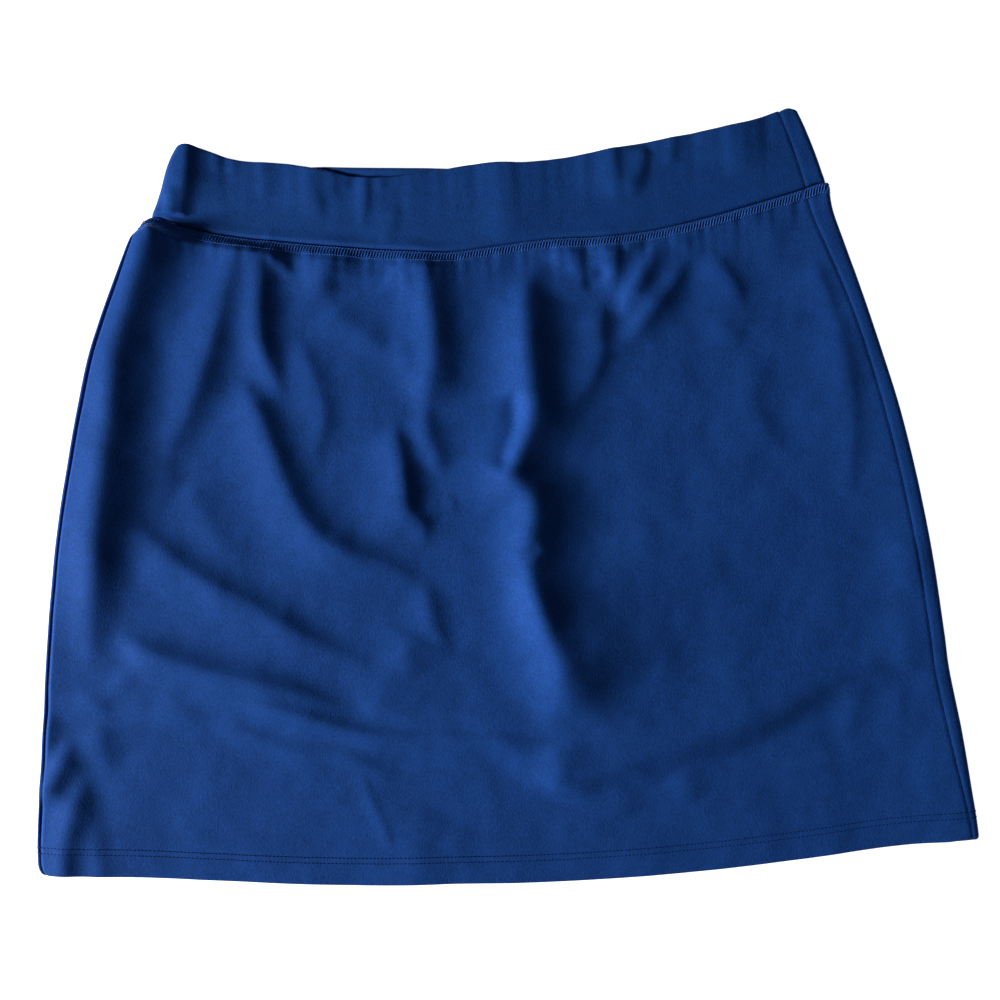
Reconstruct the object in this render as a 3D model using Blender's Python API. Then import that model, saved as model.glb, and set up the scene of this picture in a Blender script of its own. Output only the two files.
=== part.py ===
"""A golf skort laid flat with its front up.

An A-line skirt of two panels hangs from a wide folded waistband, over plain inner shorts of
four leg panels. Every piece is a cloth wall worked out from its edges, the layers under it and
the folds that the cloth lies in. +X is to the right, +Y runs from the hem to the waist and +Z
is up. The origin is on the floor, under the middle of the garment. Lengths are in millimetres
and become metres in the meshes.
"""

import bpy
import numpy as np

MM = 0.001

# Cloth walls and the layers that they lie in.
SKIRT_WALL = 1.2
SHORTS_WALL = 1.0
BAND_WALL = 2.2  # the band is folded double over its elastic
HEM_TURN = 16.0  # depth of the skirt's turned hem
HEM_EXTRA = 0.5  # what the turned hem adds to the wall, on the inside
GAP = 0.3  # between pieces at a seam and between layers
SIDE_RADIUS = 3.2  # how far in from the side the cloth has turned from upright to level

SKIRT_BACK_MID = SKIRT_WALL / 2
SHORTS_BACK_MID = SKIRT_WALL + GAP + SHORTS_WALL / 2
SHORTS_FRONT_MID = SHORTS_BACK_MID + SHORTS_WALL + GAP
SKIRT_FRONT_LOW = SKIRT_WALL + GAP + SKIRT_WALL / 2 + 0.4  # where it lies on the back panel
SKIRT_FRONT_HIGH = SHORTS_FRONT_MID + (SHORTS_WALL + SKIRT_WALL) / 2 + GAP  # over the shorts
HEM_LIFT = 2 * HEM_EXTRA  # two turned hems lie on each other
BAND_BACK_MID = BAND_WALL / 2
BAND_FRONT_MID = BAND_BACK_MID + BAND_WALL + 2 * GAP

# The sides of the skirt, a row for each level: share of the way from the hem to the waist
# seam, left side x, right side x, and how far the back panel comes round onto the front at
# the left and at the right.
SKIRT_LEVELS = (
    # up, left_x, right_x, left_wrap, right_wrap
    (0.000, -276.8, 280.4, 1.4, 4.0),
    (0.004, -278.6, 280.5, 1.4, 4.1),
    (0.012, -279.9, 280.4, 1.4, 4.2),
    (0.03, -280.4, 280.0, 1.4, 4.4),
    (0.07, -280.5, 278.7, 1.5, 5.4),
    (0.15, -278.5, 275.5, 1.6, 7.8),
    (0.26, -275.6, 269.6, 1.9, 8.7),
    (0.42, -270.6, 264.2, 2.3, 9.3),
    (0.62, -258.6, 252.4, 3.0, 9.6),
    (0.80, -242.8, 234.8, 3.7, 9.4),
    (0.90, -228.4, 223.6, 3.6, 11.5),
    (0.96, -218.4, 217.2, 2.6, 13.0),
    (1.00, -211.2, 215.6, 1.2, 14.5),
)

# The sides of the waistband: share of the way up the band, then as above. Its left seam is
# on the turn of the side, just under the outermost line.
BAND_LEVELS = (
    # up, left_x, right_x, left_wrap, right_wrap
    (0.00, -205.6, 214.0, -1.0, 12.0),
    (0.35, -199.8, 209.6, -1.0, 11.6),
    (0.90, -190.9, 200.6, -1.0, 10.9),
    (1.00, -187.9, 198.6, -1.0, 10.7),
)

# Lines across the garment, as x and y.
HEM_LINE = (
    (-277.5, -217.6), (-251.8, -219.3), (-213.0, -221.8), (-174.6, -224.9), (-124.0, -229.0),
    (-84.4, -231.3), (-25.6, -232.6), (6.0, -233.4), (72.0, -232.7), (123.6, -230.2),
    (173.0, -226.3), (241.0, -219.9), (276.0, -218.9), (280.5, -218.6),
)
WAIST_SEAM_LINE = (
    (-212.0, 176.0), (-205.6, 179.2), (-190.0, 174.0), (-170.0, 168.6), (-113.7, 159.5),
    (-52.0, 152.5), (-24.0, 150.4), (12.5, 153.4), (43.0, 156.2), (72.7, 156.3),
    (103.0, 158.6), (148.4, 167.4), (179.2, 175.3), (200.7, 181.0), (210.0, 184.0),
    (215.8, 184.6),
)
BACK_SEAM_LINE = (
    (-212.0, 176.0), (-205.6, 179.2), (-190.0, 174.0), (-150.0, 164.0), (-90.0, 155.0),
    (-30.0, 149.4), (30.0, 150.6), (90.0, 155.8), (150.0, 166.2), (200.7, 180.8),
    (210.0, 184.0), (215.8, 184.6),
)
FRONT_TOP_LINE = (
    (-190.6, 221.0), (-187.0, 223.0), (-182.0, 223.4), (-174.0, 221.0), (-157.8, 214.9),
    (-119.0, 209.5), (-97.0, 204.4), (-84.0, 201.2), (-72.0, 199.4), (-58.0, 199.2),
    (-38.5, 201.0), (-23.5, 202.6), (-8.0, 204.6), (6.5, 205.6), (28.3, 205.0),
    (50.8, 206.7), (75.9, 210.4), (113.6, 216.1), (151.4, 222.3), (171.6, 226.1),
    (186.8, 231.0), (194.5, 233.4), (198.6, 232.4),
)
BACK_TOP_LINE = (
    (-190.6, 220.6), (-187.0, 222.4), (-182.0, 222.8), (-174.0, 220.2), (-157.8, 214.1),
    (-119.0, 209.0), (-92.0, 207.0), (-58.0, 205.2), (-25.0, 203.9), (6.5, 204.4),
    (28.3, 204.0), (50.8, 205.8), (75.9, 209.4), (113.6, 215.2), (151.4, 221.4),
    (171.6, 225.2), (186.8, 230.2), (194.5, 232.8), (198.6, 231.8),
)

# The inner shorts, seen from the front: the outer side, the centre line down to the crotch
# and the inside leg below it, a row for each level from the leg's hem up to the waist seam.
SHORTS_LEVELS = {
    "left": (
        # up, side_x, side_y, inner_x, inner_y
        (0.00, -236.0, -118.0, -13.0, -141.0),
        (0.30, -213.0, -20.0, -5.0, -52.0),
        (0.65, -200.0, 76.0, -2.0, 48.0),
        (1.00, -200.0, 176.0, 0.0, 151.5),
    ),
    "right": (
        # up, side_x, side_y, inner_x, inner_y
        (0.00, 222.0, -112.0, 16.0, -176.0),
        (0.30, 214.0, -20.0, 3.0, -52.0),
        (0.65, 208.0, 80.0, 0.0, 48.0),
        (1.00, 208.0, 182.0, 2.0, 151.5),
    ),
}
SHORTS_CLEAR = 6.0  # the front panel stays up this far past the shorts' edges
SHORTS_SOFT_EDGE = 20.0  # and comes down over this width

# The largest folds of the front: height, how far each flank spreads to its left and to its
# right when the line is followed, the shares of the line over which it rises and dies away,
# and the line itself.
FRONT_FOLDS = (
    # rise, left_flank, right_flank, fade_in, fade_out, line
    (3.6, 16, 16, 0.03, 0.35,
     ((-196, 180), (-203.5, 160), (-215, 125.5), (-225.5, 88), (-231, 42), (-237, -8),
      (-240, -46), (-243.5, -85), (-246, -114))),
    (2.4, 10, 16, 0.05, 0.35,
     ((-155, 164), (-162, 140), (-168, 100), (-176, 72), (-187, 48), (-195.5, 24), (-191, -8))),
    (2.4, 9, 11, 0.05, 0.35, ((-139, 162), (-137, 140), (-138, 100), (-132, 80), (-122, 58))),
    (3.0, 11, 14, 0.15, 0.20,
     ((-149, 78), (-138.8, 50), (-127.5, 17), (-113, -14), (-93, -31), (-63, -43), (-36, -56))),
    (2.6, 13, 14, 0.05, 0.40, ((-90, 158), (-96, 142), (-98, 130), (-92, 116), (-74, 100))),
    (2.8, 13, 14, 0.05, 0.30,
     ((-38, 157), (-34.5, 133), (-31, 97), (-34.5, 67), (-38.5, 46), (-33, 24))),
    (3.6, 16, 16, 0.15, 0.20,
     ((36, 144), (28, 121), (26.6, 90), (28, 56), (20.4, 29), (14, 12), (22.2, 0), (26, -15),
      (22, -42), (26, -76), (33, -106), (30, -146))),
    (2.2, 9, 12, 0.10, 0.40, ((78.5, 157), (79.5, 134), (72, 106), (67, 77), (54, 48))),
    (2.2, 9, 12, 0.15, 0.40, ((124, 139), (107.5, 111.5), (87, 89), (78, 81))),
    (2.2, 11, 15, 0.25, 0.35,
     ((-217, -12), (-182, -40), (-138, -70), (-93, -95), (-69, -110))),
    (2.4, 11, 14, 0.20, 0.35, ((-222, -80), (-183, -98), (-139, -111), (-84, -130))),
    (2.2, 11, 16, 0.25, 0.35, ((207, -117), (164, -142), (113, -157), (70, -170), (38, -192))),
    (2.6, 10, 10, 0.20, 0.05, ((-250, -158), (-256, -180), (-262, -212), (-262.5, -232))),
    (2.2, 9, 8, 0.20, 0.20, ((-258, -136), (-266, -158), (-277, -180))),
)
BAND_FOLDS = (
    # rise, left_flank, right_flank, fade_in, fade_out, line
    (2.8, 10, 8, 0.02, 0.02, ((-184, 228), (-188, 200), (-195, 176))),
    (1.6, 9, 10, 0.10, 0.60, ((-104, 212), (-103, 186), (-98, 170))),
    (1.4, 8, 9, 0.10, 0.60, ((82.5, 216), (84, 190), (88, 172))),
)
SIDE_BULGE = 0.5  # how much fuller the cloth is at the turn of each side
NUDGE = 0.02  # for reading the slope of the cloth


def between(low, high, share):
    return low + (high - low) * share


def ease(share):
    """A smooth step from 0 to 1."""
    share = np.clip(share, 0.0, 1.0)
    return share * share * (3.0 - 2.0 * share)


def smooth_through(knots, values, at):
    """A smooth curve through values at knots, read at other places."""
    knots = np.asarray(knots, float)
    values = np.asarray(values, float)
    slopes = np.gradient(values, knots)
    at = np.clip(at, knots[0], knots[-1])
    cell = np.clip(np.searchsorted(knots, at, side="right") - 1, 0, len(knots) - 2)
    width = knots[cell + 1] - knots[cell]
    share = (at - knots[cell]) / width
    bend = ease(share)
    start = slopes[cell] * width * share * (1 - share) ** 2
    end = slopes[cell + 1] * width * share ** 2 * (1 - share)
    return between(values[cell], values[cell + 1], bend) + start - end


def across(line, x):
    """The y of a line across the garment at x."""
    xs, ys = zip(*line)
    return smooth_through(xs, ys, x)


def level(rows, column, up):
    """A column of a table of levels, at a share of the way up."""
    ups = [row[0] for row in rows]
    return smooth_through(ups, [row[column] for row in rows], up)


def from_line(x, y, line, steps=6):
    """Signed distance of each point to a smooth line, more than zero on its left, and the
    share of the way along the line at which it is nearest."""
    corners = np.array(line, float)
    ends = np.arange(len(corners))
    shares = np.linspace(0, ends[-1], ends[-1] * steps + 1)
    route = np.stack([smooth_through(ends, corners[:, axis], shares) for axis in (0, 1)], 1)
    best = np.full(np.shape(x), np.inf)
    signed = np.zeros(np.shape(x))
    along = np.zeros(np.shape(x))
    for step, (start, end) in enumerate(zip(route[:-1], route[1:])):
        run = end - start
        reach = ((x - start[0]) * run[0] + (y - start[1]) * run[1]) / (run @ run)
        reach = np.clip(reach, 0.0, 1.0)
        off_x = x - start[0] - reach * run[0]
        off_y = y - start[1] - reach * run[1]
        far = np.hypot(off_x, off_y)
        nearer = far < best
        side = np.sign(run[0] * off_y - run[1] * off_x)
        best = np.where(nearer, far, best)
        signed = np.where(nearer, side * far, signed)
        along = np.where(nearer, (step + reach) / (len(route) - 1), along)
    return signed, along


def relief(folds, x, y):
    """The height that the folds add at each point."""
    height = np.zeros(np.shape(x))
    for rise, left_flank, right_flank, fade_in, fade_out, line in folds:
        signed, along = from_line(x, y, line)
        flank = np.where(signed > 0, left_flank, right_flank)
        fades = ease(along / fade_in) * ease((1 - along) / fade_out)
        height = height + rise * fades * np.exp(-((signed / flank) ** 2))
    return height


def shorts_outline(side):
    """The closed outline of one leg of the shorts."""
    rows = SHORTS_LEVELS[side]
    outer = [(row[1], row[2]) for row in rows]
    inner = [(row[3], row[4]) for row in rows]
    return np.array(outer + inner[::-1], float)


def inside_by(x, y, outline):
    """How far each point is inside an outline, less than zero outside it."""
    far = np.full(np.shape(x), np.inf)
    inside = np.zeros(np.shape(x), bool)
    for start, end in zip(outline, np.roll(outline, -1, axis=0)):
        run = end - start
        reach = np.clip(((x - start[0]) * run[0] + (y - start[1]) * run[1]) / (run @ run), 0, 1)
        far = np.minimum(far, np.hypot(x - start[0] - reach * run[0], y - start[1] - reach * run[1]))
        crosses = (start[1] > y) != (end[1] > y)
        rise = run[1] if run[1] else 1e-9
        inside ^= crosses & (x < start[0] + (y - start[1]) * run[0] / rise)
    return np.where(inside, far, -far)


def over_shorts(x, y):
    """1 where the front lies on the shorts, falling to 0 past their edges."""
    depth = np.maximum(
        inside_by(x, y, shorts_outline("left")), inside_by(x, y, shorts_outline("right"))
    )
    return ease((depth + SHORTS_CLEAR + SHORTS_SOFT_EDGE) / SHORTS_SOFT_EDGE)


def skirt_front_mid(x, y):
    """Height of the middle of the front panel's wall."""
    rest = between(SKIRT_FRONT_LOW, SKIRT_FRONT_HIGH, over_shorts(x, y))
    hem = HEM_LIFT * ease((across(HEM_LINE, x) + 2 * HEM_TURN - y) / HEM_TURN)
    return rest + hem + relief(FRONT_FOLDS, x, y)


def band_front_mid(x, y):
    """Height of the middle of the front band's wall."""
    return BAND_FRONT_MID + relief(BAND_FOLDS, x, y)


def side_turn(distance):
    """How far the cloth has turned level at a distance in from the side: 0 there, then 1."""
    share = np.clip(distance / SIDE_RADIUS, 0.0, 1.0)
    return np.sqrt(1 - (1 - share) ** 2)


def turned(distance):
    """Length along the turned cloth from the side's outermost line to a distance in."""
    share = np.clip(np.abs(distance) / SIDE_RADIUS, 0.0, 1.0)
    length = SIDE_RADIUS * np.arccos(1 - share) + np.maximum(np.abs(distance) - SIDE_RADIUS, 0)
    return np.sign(distance) * length


def unturned(length):
    """The distance in from the side, for a length along the turned cloth."""
    angle = np.clip(np.abs(length) / SIDE_RADIUS, 0.0, np.pi / 2)
    past = np.maximum(np.abs(length) - SIDE_RADIUS * np.pi / 2, 0)
    return SIDE_RADIUS * (1 - np.cos(angle)) + past


def sides(tube, up):
    """The x of the middle of the wall at the two sides."""
    left = level(tube["levels"], 1, up) + tube["half_wall"]
    right = level(tube["levels"], 2, up) - tube["half_wall"]
    return left, right


def tube_row(tube, up, lengths):
    """Points on the middle of the wall of a flattened tube, in one row round it: lengths run
    along the upper layer from left to right, then back along the lower one."""
    left, right = sides(tube, up)
    whole = cloth_width(tube, up)
    lengths = lengths % (2 * whole)
    on_top = lengths < whole
    from_left = np.where(on_top, lengths, 2 * whole - lengths)
    x = np.where(
        from_left < whole / 2, left + unturned(from_left), right - unturned(whole - from_left)
    )
    share = (x - left) / (right - left)
    low_x = between(tube["levels"][0][1], tube["levels"][0][2], share)
    high_x = between(tube["levels"][-1][1], tube["levels"][-1][2], share)
    y = between(across(tube["bottom_line"], low_x), across(tube["top_line"], high_x), up)
    inward = np.minimum(x - left, right - x)
    near_side = np.exp(-((inward / (4 * SIDE_RADIUS)) ** 2))
    high = tube["upper"](x, y) + SIDE_BULGE * near_side
    centre = (high + tube["lower"]) / 2
    reach = np.where(on_top, high - centre, tube["lower"] - centre)
    return np.stack([x, y, centre + reach * side_turn(inward)], -1)


def cloth_width(tube, up):
    """The length along the upper layer from side to side."""
    left, right = sides(tube, up)
    return right - left + (np.pi - 2) * SIDE_RADIUS


def stations(stops, counts):
    """Lengths that run through the stops, with a count of steps between each two."""
    runs = [np.linspace(*ends, count + 1)[:-1] for *ends, count in zip(stops, stops[1:], counts)]
    return np.concatenate([*runs, stops[-1:]])


def tube_sheet(tube, ups, steps, front):
    """Grids of wall points and of the directions out of the wall, a row for each level, from
    one side seam to the other: over the upper layer for a front piece, round both sides and
    over the lower layer for a back one."""
    middle = []
    out = []
    turn = np.pi * SIDE_RADIUS / 2
    for up in ups:
        left_seam = turned(level(tube["levels"], 3, up))
        right_seam = turned(level(tube["levels"], 4, up))
        whole = cloth_width(tube, up)
        if front:
            level_from = max(turn, left_seam + SIDE_RADIUS)
            stops = (left_seam + GAP / 2, level_from, whole - right_seam - GAP / 2)
        else:
            start = whole - right_seam + GAP / 2
            stops = (start, whole, whole + turn, 2 * whole - turn, 2 * whole + left_seam - GAP / 2)
        lengths = stations(stops, steps)
        middle.append(tube_row(tube, up, lengths))
        run = tube_row(tube, up, lengths + NUDGE) - tube_row(tube, up, lengths - NUDGE)
        normal = np.stack([-run[:, 2], np.zeros(len(run)), run[:, 0]], -1)
        out.append(normal / np.linalg.norm(normal, axis=-1, keepdims=True))
    return np.array(middle), np.array(out)


def wall_mesh(name, middle, out, outer, inner):
    """A closed wall on a grid of middle points, outer and inner thick on its two sides. It is
    thickened in the plane of each row, so its edges at the seams stay straight."""
    rows, columns = middle.shape[:2]
    outside = middle + out * np.broadcast_to(outer, (rows, columns))[..., None]
    inside = middle - out * np.broadcast_to(inner, (rows, columns))[..., None]
    points = np.concatenate([outside.reshape(-1, 3), inside.reshape(-1, 3)]) * MM
    below = rows * columns

    def at(row, column, layer=0):
        return layer * below + row * columns + column

    faces = []
    for row in range(rows - 1):
        for column in range(columns - 1):
            corners = (
                (row, column), (row, column + 1), (row + 1, column + 1), (row + 1, column)
            )
            faces.append([at(*corner) for corner in corners])
            faces.append([at(*corner, 1) for corner in reversed(corners)])
    rim = [(0, column) for column in range(columns)]
    rim += [(row, columns - 1) for row in range(1, rows)]
    rim += [(rows - 1, column) for column in range(columns - 2, -1, -1)]
    rim += [(row, 0) for row in range(rows - 2, 0, -1)]
    for start, end in zip(rim, rim[1:] + rim[:1]):
        faces.append([at(*end), at(*start), at(*start, 1), at(*end, 1)])
    mesh = bpy.data.meshes.new(name)
    mesh.from_pydata([tuple(point) for point in points], [], faces)
    mesh.validate()
    return mesh


def cloth_material(name, colour, roughness):
    material = bpy.data.materials.new(name)
    material.use_nodes = True
    shader = material.node_tree.nodes["Principled BSDF"]
    shader.inputs["Base Color"].default_value = (*colour, 1.0)
    shader.inputs["Roughness"].default_value = roughness
    shader.inputs["Metallic"].default_value = 0.0
    return material


def add_piece(name, mesh, colour, roughness=0.8):
    """Adds a wall to the scene as its own object, shaded smooth, in its own cloth."""
    mesh.shade_smooth()
    mesh.set_sharp_from_angle(angle=np.radians(50))
    mesh.materials.append(cloth_material(name + "_cloth", colour, roughness))
    piece = bpy.data.objects.new(name, mesh)
    bpy.context.scene.collection.objects.link(piece)
    return piece


def crowded_ends(count, crowding=0.75):
    """Shares from 0 to 1, closer together near both ends."""
    even = np.linspace(0, 1, count)
    return between(even, (1 - np.cos(np.pi * even)) / 2, crowding)


def skirt_ups(count):
    """Levels of a skirt panel: the turned hem, then evenly up to just below the waist seam."""
    length = WAIST_SEAM_LINE[0][1] - HEM_LINE[0][1]
    turn = HEM_TURN / length
    body = np.linspace(turn + 0.012, 1 - GAP / 2 / length, count)
    return np.concatenate([[0.0, turn / 2, turn], body])


def build_skirt():
    navy = (0.009, 0.057, 0.260)
    ups = skirt_ups(33)
    tube = {
        "levels": SKIRT_LEVELS,
        "half_wall": SKIRT_WALL / 2,
        "bottom_line": HEM_LINE,
        "upper": skirt_front_mid,
        "lower": SKIRT_BACK_MID,
    }
    for name, front, steps, top_line in (
        ("skirt_front", True, (2, 70), WAIST_SEAM_LINE),
        ("skirt_back", False, (5, 4, 14, 6), BACK_SEAM_LINE),
    ):
        tube["top_line"] = top_line
        middle, out = tube_sheet(tube, ups, steps, front)
        extra = np.where(np.arange(len(ups)) < 3, HEM_EXTRA, 0.0)[:, None]
        half = SKIRT_WALL / 2
        add_piece(name, wall_mesh(name, middle, out, half, half + extra), navy)


def build_waistband():
    navy = (0.0075, 0.053, 0.238)
    length = FRONT_TOP_LINE[0][1] - WAIST_SEAM_LINE[1][1]
    ups = np.concatenate([[GAP / 2 / length], np.linspace(0.25, 1.0, 4)])
    tube = {
        "levels": BAND_LEVELS,
        "half_wall": BAND_WALL / 2,
        "upper": band_front_mid,
        "lower": BAND_BACK_MID,
    }
    for name, front, steps, bottom_line, top_line in (
        ("waistband_front", True, (3, 44), WAIST_SEAM_LINE, FRONT_TOP_LINE),
        ("waistband_back", False, (4, 4, 16, 3), BACK_SEAM_LINE, BACK_TOP_LINE),
    ):
        tube["bottom_line"] = bottom_line
        tube["top_line"] = top_line
        middle, out = tube_sheet(tube, ups, steps, front)
        half = BAND_WALL / 2
        add_piece(name, wall_mesh(name, middle, out, half, half), navy)


def build_shorts():
    blue = (0.009, 0.058, 0.250)
    for side, rows in SHORTS_LEVELS.items():
        ups = np.linspace(0, 1, 9)
        shares = crowded_ends(14, 0.5)
        up, share = np.meshgrid(ups, shares, indexing="ij")
        side_x, side_y, inner_x, inner_y = (level(rows, column, up) for column in (1, 2, 3, 4))
        gap = GAP / 2 if side == "left" else -GAP / 2
        x = between(side_x, inner_x - gap, share)
        y = between(side_y, inner_y, share)
        for layer, rest, seam_line in (
            ("front", SHORTS_FRONT_MID, WAIST_SEAM_LINE),
            ("back", SHORTS_BACK_MID, BACK_SEAM_LINE),
        ):
            sewn_y = np.where(up == 1, across(seam_line, x) - 3 * GAP, y)
            middle = np.stack([x, sewn_y, np.full(x.shape, rest)], -1)
            if side == "right":
                middle = middle[:, ::-1]
            out = np.broadcast_to((0.0, 0.0, 1.0), middle.shape)
            name = f"shorts_{layer}_{side}"
            half = SHORTS_WALL / 2
            add_piece(name, wall_mesh(name, middle, out, half, half), blue)


def main():
    for old in list(bpy.data.objects):
        bpy.data.objects.remove(old, do_unlink=True)
    build_skirt()
    build_waistband()
    build_shorts()


main()
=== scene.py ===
"""The looks of a golf skort laid flat with its front up.

The skirt's two panels, the folded waistband and the inner shorts are thin closed shells on the
forms of their solids, in the folds, puckers and seam ditches that the cloth lies in. Stitches
are short threads on those shells. +X is to the right, +Y runs from the hem to the waist and +Z
is up. Lengths are in millimetres and become metres in the meshes.
"""

import bpy
import numpy as np
from mathutils import Matrix, Vector

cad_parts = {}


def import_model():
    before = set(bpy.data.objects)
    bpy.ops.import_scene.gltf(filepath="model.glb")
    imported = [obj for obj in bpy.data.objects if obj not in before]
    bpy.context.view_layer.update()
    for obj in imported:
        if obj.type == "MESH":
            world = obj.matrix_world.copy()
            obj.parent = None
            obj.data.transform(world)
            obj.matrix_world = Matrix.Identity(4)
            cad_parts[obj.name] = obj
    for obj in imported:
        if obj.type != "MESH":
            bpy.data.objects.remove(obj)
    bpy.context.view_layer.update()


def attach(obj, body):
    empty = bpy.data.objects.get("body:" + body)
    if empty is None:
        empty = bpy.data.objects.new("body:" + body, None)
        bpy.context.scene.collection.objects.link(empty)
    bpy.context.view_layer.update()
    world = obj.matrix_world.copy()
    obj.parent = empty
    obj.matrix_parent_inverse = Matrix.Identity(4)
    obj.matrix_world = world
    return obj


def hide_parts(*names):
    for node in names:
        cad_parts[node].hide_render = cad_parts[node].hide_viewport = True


MM = 0.001

# Cloth walls and the layers that they lie in.
SKIRT_WALL = 1.2
SHORTS_WALL = 1.0
BAND_WALL = 2.2  # the band is folded double over its elastic
HEM_TURN = 16.0  # depth of the skirt's turned hem
GAP = 0.3  # between pieces at a seam
SIDE_RADIUS = 2.1  # how far in from the side the cloth has turned from upright to level
BAND_HOLLOW = 0.9  # between the two walls of the band

SKIRT_BACK_MID = SKIRT_WALL / 2
SHORTS_BACK_RISE = 1.3  # of the middle of the shorts' back wall over that of the skirt's
SHORTS_FRONT_RISE = 2.45
SKIRT_FRONT_LOW = 2.1  # where it lies on the back panel
SKIRT_FRONT_HIGH = 4.8  # over the shorts
HEM_LIFT = 0.9  # two turned hems lie on each other
BAND_BACK_MID = BAND_WALL / 2
BAND_FRONT_MID = BAND_BACK_MID + BAND_WALL + BAND_HOLLOW

# The sides of the skirt, a row for each level: share of the way from the hem to the waist
# seam, left side x, right side x, and how far the back panel comes round onto the front at
# the left and at the right.
SKIRT_LEVELS = (
    # up, left_x, right_x, left_wrap, right_wrap
    (0.000, -276.8, 280.4, 1.4, 4.0),
    (0.004, -278.6, 280.5, 1.4, 4.1),
    (0.012, -279.9, 280.4, 1.4, 4.2),
    (0.03, -280.4, 280.0, 1.4, 4.4),
    (0.07, -280.5, 278.7, 1.5, 5.4),
    (0.15, -278.5, 275.5, 1.6, 7.8),
    (0.26, -275.6, 269.6, 1.9, 8.7),
    (0.42, -270.6, 264.2, 2.3, 9.3),
    (0.62, -258.6, 252.4, 3.0, 9.6),
    (0.80, -242.8, 234.8, 3.7, 9.4),
    (0.90, -228.4, 223.6, 3.6, 11.5),
    (0.96, -218.4, 217.2, 2.6, 13.0),
    (1.00, -211.2, 215.6, 1.2, 14.5),
)

# The sides of the waistband: share of the way up the band, then as above. Its left seam is
# on the turn of the side, just under the outermost line.
BAND_LEVELS = (
    # up, left_x, right_x, left_wrap, right_wrap
    (0.00, -205.6, 214.0, -1.0, 12.0),
    (0.35, -199.8, 209.6, -1.0, 11.6),
    (0.90, -190.9, 200.6, -1.0, 10.9),
    (1.00, -187.9, 198.6, -1.0, 10.7),
)

# Lines across the garment, as x and y.
HEM_LINE = (
    (-277.5, -217.6), (-251.8, -219.3), (-213, -221.8), (-174.6, -224.9), (-124, -229),
    (-84.4, -231.3), (-25.6, -232.6), (6, -233.4), (72, -232.7), (123.6, -230.2),
    (173, -226.3), (241, -219.9), (276, -218.9), (280.5, -218.6),
)
WAIST_SEAM_LINE = (
    (-212, 176), (-205.6, 179.2), (-190, 174), (-170, 168.6), (-113.7, 159.5),
    (-52, 152.5), (-24, 150.4), (12.5, 153.4), (43, 156.2), (72.7, 156.3),
    (103, 158.6), (148.4, 167.4), (179.2, 175.3), (200.7, 181), (210, 184),
    (215.8, 184.6),
)
BACK_SEAM_LINE = (
    (-212, 176), (-205.6, 179.2), (-190, 174), (-150, 164), (-90, 155),
    (-30, 149.4), (30, 150.6), (90, 155.8), (150, 166.2), (200.7, 180.8),
    (210, 184), (215.8, 184.6),
)
FRONT_TOP_LINE = (
    (-190.6, 221), (-187, 223), (-182, 223.4), (-174, 221), (-157.8, 214.9),
    (-119, 209.5), (-97, 204.4), (-84, 201.2), (-72, 199.4), (-58, 199.2),
    (-38.5, 201), (-23.5, 202.6), (-8, 204.6), (6.5, 205.6), (28.3, 205),
    (50.8, 206.7), (75.9, 210.4), (113.6, 216.1), (151.4, 222.3), (171.6, 226.1),
    (186.8, 231), (194.5, 233.4), (198.6, 232.4),
)
BACK_TOP_LINE = (
    (-190.6, 220.6), (-187, 222.4), (-182, 222.8), (-174, 220.2), (-157.8, 214.1),
    (-119, 209), (-92, 207), (-58, 205.2), (-25, 203.9), (6.5, 204.4),
    (28.3, 204), (50.8, 205.8), (75.9, 209.4), (113.6, 215.2), (151.4, 221.4),
    (171.6, 225.2), (186.8, 230.2), (194.5, 232.8), (198.6, 231.8),
)

# The inner shorts, seen from the front: the outer side, the centre line down to the crotch
# and the inside leg below it, a row for each level from the leg's hem up to the waist seam.
SHORTS_LEVELS = {
    "left": (
        # up, side_x, side_y, inner_x, inner_y
        (0.00, -236, -118, -13, -141),
        (0.30, -213, -20, -5, -52),
        (0.65, -200, 76, -2, 48),
        (1.00, -200, 176, 0, 151.5),
    ),
    "right": (
        # up, side_x, side_y, inner_x, inner_y
        (0.00, 222, -112, 16, -176),
        (0.30, 214, -20, 3, -52),
        (0.65, 208, 80, 0, 48),
        (1.00, 208, 182, 2, 151.5),
    ),
}
# Where the front panel comes down past the shorts: their leg hems, a line across.
LEG_HEM_LINE = (
    (-280, -112), (-236, -118), (-120, -132), (-13, -144), (16, -168),
    (80, -168), (160, -142), (222, -116), (280, -104),
)
LEG_SLOPE = 26.0  # width over which it comes down
LEG_SLOPE_PAST = 0.6  # the share of that width past the leg hems

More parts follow.
